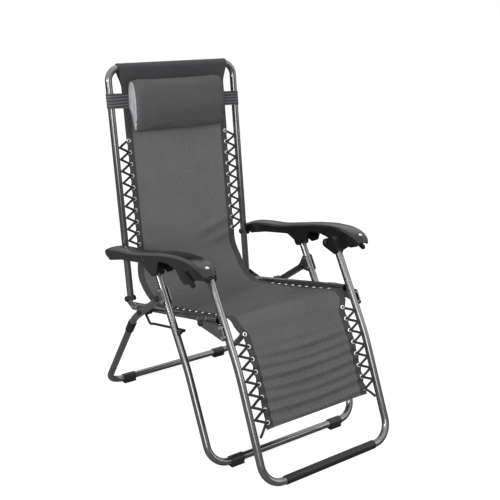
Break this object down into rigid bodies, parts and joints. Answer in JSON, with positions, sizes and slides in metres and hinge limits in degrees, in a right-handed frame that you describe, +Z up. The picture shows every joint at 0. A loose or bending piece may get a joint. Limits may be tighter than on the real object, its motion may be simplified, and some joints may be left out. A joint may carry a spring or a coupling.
{
  "type": "zero gravity recliner",
  "caption": "Folding tube-steel lounge chair with a laced mesh sling, moulded armrests, a headrest roll and a leg rest that lifts as the back reclines.",
  "frame": {"origin": "on the floor, at the centre of the upright chair's bounding box", "axes": "+Z up, the sitter faces -Y, +X to the sitter's left"},
  "size_m": [0.617, 0.892, 1.0942],
  "materials": {
    "powder_coat": "graphite semi-gloss powder coat on steel tube",
    "black_plastic": "moulded black plastic, fine grain",
    "black_rubber": "black rubber",
    "black_wire": "black painted steel wire",
    "bolt_steel": "blackened steel bolts",
    "plated_steel": "zinc-plated steel",
    "eyelet_steel": "nickel-plated eyelets",
    "elastic_cord": "black braided elastic cord",
    "elastic_strap": "black woven elastic strap",
    "sling_cloth": "woven PVC-coated polyester mesh, grey and black",
    "pillow_cloth": "padded roll in the same mesh"
  },
  "bodies": {
    "rear_legs": {"rear_leg_frame": "powder_coat", "rear_feet": "black_plastic", "rear_bend_sleeves": "black_plastic", "stop_rods": "black_wire", "stop_knobs": "black_rubber", "seat_pivot_bolts": "bolt_steel", "seat_pivot_spacers": "black_plastic"},
    "front_legs": {"front_leg_frame": "powder_coat", "front_feet": "black_plastic", "leg_pivot_brackets": "powder_coat", "leg_pivot_rivets": "plated_steel", "leg_pivot_bolts": "bolt_steel", "slide_blocks": "black_plastic", "slide_pins": "plated_steel"},
    "seat": {"seat_rail_right": "powder_coat", "seat_rail_left": "powder_coat", "seat_cross_tube": "powder_coat", "seat_hinge_plates": "powder_coat", "knee_lugs": "powder_coat", "seat_rivets": "plated_steel", "seat_rail_caps": "black_plastic", "seat_sling": "sling_cloth", "seat_eyelets": "eyelet_steel", "seat_lacing_right": "elastic_cord", "seat_lacing_left": "elastic_cord"},
    "back_hinges": {"back_hinge_bolts": "bolt_steel"},
    "back": {"back_frame": "powder_coat", "back_sling": "sling_cloth", "back_eyelets": "eyelet_steel", "back_lace_loops": "black_wire", "back_lacing_right": "elastic_cord", "back_lacing_left": "elastic_cord"},
    "headrest": {"headrest_pillow": "pillow_cloth", "pillow_strap": "elastic_strap"},
    "knee_hinges": {"knee_bolts": "bolt_steel"},
    "leg_rest": {"leg_rest_frame": "powder_coat", "knee_arms": "powder_coat", "knee_arm_rivets": "plated_steel", "leg_top_brackets": "black_plastic", "foot_bar_sleeve": "black_plastic", "leg_sling": "sling_cloth", "leg_eyelets": "eyelet_steel", "leg_lace_loops": "black_wire", "leg_lacing_right": "elastic_cord", "leg_lacing_left": "elastic_cord"},
    "arm_hinges": {"arm_rear_bolts": "bolt_steel"},
    "armrests": {"armrest_right": "black_plastic", "armrest_left": "black_plastic", "arm_front_bolts": "bolt_steel"},
    "right_lock": {"lock_lever_right": "black_plastic"},
    "left_lock": {"lock_lever_left": "black_plastic"}
  },
  "joints": [
    {"name": "fold", "type": "hinge", "parent": "rear_legs", "child": "front_legs", "pos_m": [0, 0.036, 0.453], "axis": [1, 0, 0], "range_deg": [0, 62]},
    {"name": "recline", "type": "hinge", "parent": "rear_legs", "child": "seat", "pos_m": [0, 0.155, 0.3714], "axis": [1, 0, 0], "range_deg": [-9.8, 0]},
    {"name": "back_fold", "type": "hinge", "parent": "seat", "child": "back_hinges", "pos_m": [0, 0.307, 0.36], "axis": [1, 0, 0], "range_deg": [0, 40]},
    {"name": "back_recline", "type": "hinge", "parent": "back_hinges", "child": "back", "pos_m": [0, 0.307, 0.36], "axis": [1, 0, 0], "range_deg": [-35, 0]},
    {"name": "knee_fold", "type": "hinge", "parent": "seat", "child": "knee_hinges", "pos_m": [0, -0.14362, 0.42816], "axis": [1, 0, 0], "range_deg": [0, 40]},
    {"name": "leg_rest_lift", "type": "hinge", "parent": "knee_hinges", "child": "leg_rest", "pos_m": [0, -0.14362, 0.42816], "axis": [1, 0, 0], "range_deg": [-35, 0]},
    {"name": "armrest_fold", "type": "hinge", "parent": "back", "child": "arm_hinges", "pos_m": [0, 0.32562, 0.50884], "axis": [1, 0, 0], "range_deg": [-40, 0]},
    {"name": "armrest_slide_back", "type": "hinge", "parent": "arm_hinges", "child": "armrests", "pos_m": [0, 0.32562, 0.50884], "axis": [1, 0, 0], "range_deg": [0, 35]},
    {"name": "right_lock_flip", "type": "hinge", "parent": "armrests", "child": "right_lock", "pos_m": [0, -0.158, 0.588], "axis": [1, 0, 0], "range_deg": [0, 60]},
    {"name": "left_lock_flip", "type": "hinge", "parent": "armrests", "child": "left_lock", "pos_m": [0, -0.158, 0.588], "axis": [1, 0, 0], "range_deg": [0, 60]},
    {"name": "headrest_slide", "type": "slide", "parent": "back", "child": "headrest", "axis": [0, -0.1241, -0.9923], "range_m": [0, 0.09]}
  ],
  "couplings": [
    {"joint": "back_fold", "follows": "fold", "ratio": 0.64516},
    {"joint": "knee_fold", "follows": "fold", "ratio": 0.64516},
    {"joint": "armrest_fold", "follows": "fold", "ratio": -0.64516},
    {"joint": "back_recline", "follows": "recline", "ratio": 3.5714},
    {"joint": "leg_rest_lift", "follows": "recline", "ratio": 3.5714},
    {"joint": "armrest_slide_back", "follows": "recline", "ratio": -3.5714}
  ]
}
